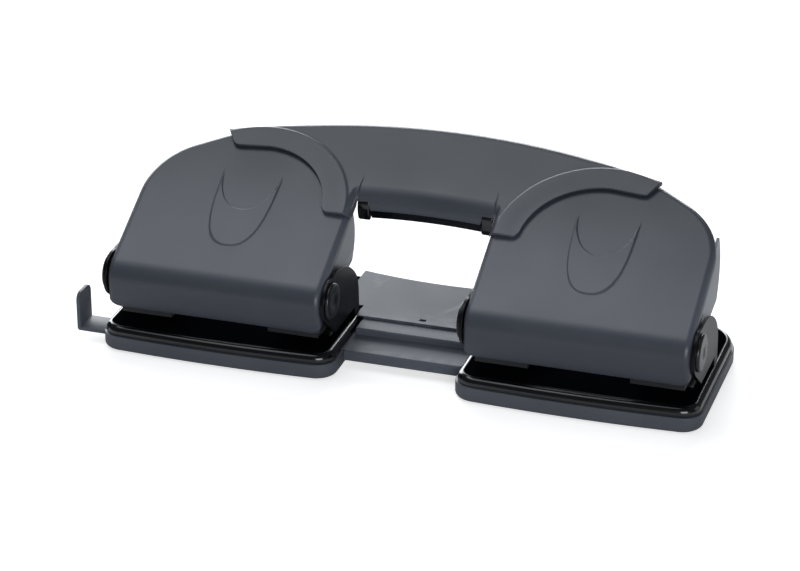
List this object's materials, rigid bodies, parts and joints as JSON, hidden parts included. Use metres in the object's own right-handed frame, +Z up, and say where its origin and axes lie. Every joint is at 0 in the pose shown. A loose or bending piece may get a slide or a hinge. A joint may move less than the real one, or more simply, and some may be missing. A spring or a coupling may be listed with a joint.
{
  "type": "hole punch",
  "caption": "Heavy desk hole punch for four holes: two punch heads on one base, joined by an arched bridge handle, with a sliding paper guide and chip trays.",
  "frame": {"origin": "on the table plane, under the middle of the row of four holes, midway between the two heads", "axes": "+X along the row of holes and the object's length, +Y the way the sheet goes in, -Y towards the sheet, +Z up"},
  "size_m": [0.2795, 0.094, 0.0857],
  "materials": {
    "cover_plastic": "satin charcoal, fine grain",
    "gloss_black": "glossy black",
    "cap_black": "satin black, domed",
    "tray_plastic": "satin black-grey",
    "bar_paint": "satin grey paint",
    "frame_paint": "light grey paint",
    "housing_black": "black paint",
    "guide_plastic": "satin grey",
    "steel": "bright steel",
    "rubber": "matt black"
  },
  "bodies": {
    "base": {"axle_caps_left": "cap_black", "axle_caps_right": "cap_black", "axle_left": "steel", "axle_right": "steel", "bridge_plate": "bar_paint", "bridge_rail": "bar_paint", "chassis": "bar_paint", "cheek_left_inner": "gloss_black", "cheek_left_outer": "gloss_black", "cheek_right_inner": "gloss_black", "cheek_right_outer": "gloss_black", "deck_left": "gloss_black", "deck_right": "gloss_black", "die_plate_left": "steel", "die_plate_right": "steel", "guide_keepers": "steel", "housing_screws_left": "steel", "housing_screws_right": "steel", "punch_housing_1": "housing_black", "punch_housing_2": "housing_black", "punch_housing_3": "housing_black", "punch_housing_4": "housing_black", "stop_block_1": "housing_black", "stop_block_2": "housing_black", "stop_block_3": "housing_black", "stop_block_4": "housing_black"},
    "lever": {"handle_liner": "gloss_black", "handle_screws": "steel", "handle_shell": "cover_plastic", "lever_cover_left": "cover_plastic", "lever_cover_right": "cover_plastic", "lever_frame_left": "frame_paint", "lever_frame_right": "frame_paint", "liner_screws": "steel", "press_bar_left": "steel", "press_bar_right": "steel"},
    "pin_1": {"punch_pin_1": "steel", "return_spring_1": "steel"},
    "pin_2": {"punch_pin_2": "steel", "return_spring_2": "steel"},
    "pin_3": {"punch_pin_3": "steel", "return_spring_3": "steel"},
    "pin_4": {"punch_pin_4": "steel", "return_spring_4": "steel"},
    "tray_left": {"chip_tray_left": "tray_plastic", "tray_feet_left": "rubber"},
    "tray_right": {"chip_tray_right": "tray_plastic", "tray_feet_right": "rubber"},
    "guide": {"guide_strip": "guide_plastic"}
  },
  "joints": [
    {"name": "lever_pivot", "type": "hinge", "parent": "base", "child": "lever", "pos_m": [0, -0.02, 0.0335], "axis": [-1, 0, 0], "range_deg": [0, 20.6], "stiffness_Nm_per_rad": 0.8, "springref_deg": -28.65},
    {"name": "pin_stroke_1", "type": "slide", "parent": "base", "child": "pin_1", "axis": [0, 0, -1], "range_m": [0, 0.0073], "deforming": ["return_spring_1"]},
    {"name": "pin_stroke_2", "type": "slide", "parent": "base", "child": "pin_2", "axis": [0, 0, -1], "range_m": [0, 0.0073], "deforming": ["return_spring_2"]},
    {"name": "pin_stroke_3", "type": "slide", "parent": "base", "child": "pin_3", "axis": [0, 0, -1], "range_m": [0, 0.0073], "deforming": ["return_spring_3"]},
    {"name": "pin_stroke_4", "type": "slide", "parent": "base", "child": "pin_4", "axis": [0, 0, -1], "range_m": [0, 0.0073], "deforming": ["return_spring_4"]},
    {"name": "tray_release_left", "type": "slide", "parent": "base", "child": "tray_left", "axis": [0, 0, -1], "range_m": [0, 0.012]},
    {"name": "tray_release_right", "type": "slide", "parent": "base", "child": "tray_right", "axis": [0, 0, -1], "range_m": [0, 0.012]},
    {"name": "guide_slide", "type": "slide", "parent": "base", "child": "guide", "axis": [-1, 0, 0], "range_m": [-0.008, 0.012]}
  ],
  "couplings": [
    {"joint": "pin_stroke_1", "follows": "lever_pivot", "m_per_rad": 0.01989},
    {"joint": "pin_stroke_2", "follows": "lever_pivot", "m_per_rad": 0.01989},
    {"joint": "pin_stroke_3", "follows": "lever_pivot", "m_per_rad": 0.01989},
    {"joint": "pin_stroke_4", "follows": "lever_pivot", "m_per_rad": 0.01989}
  ]
}
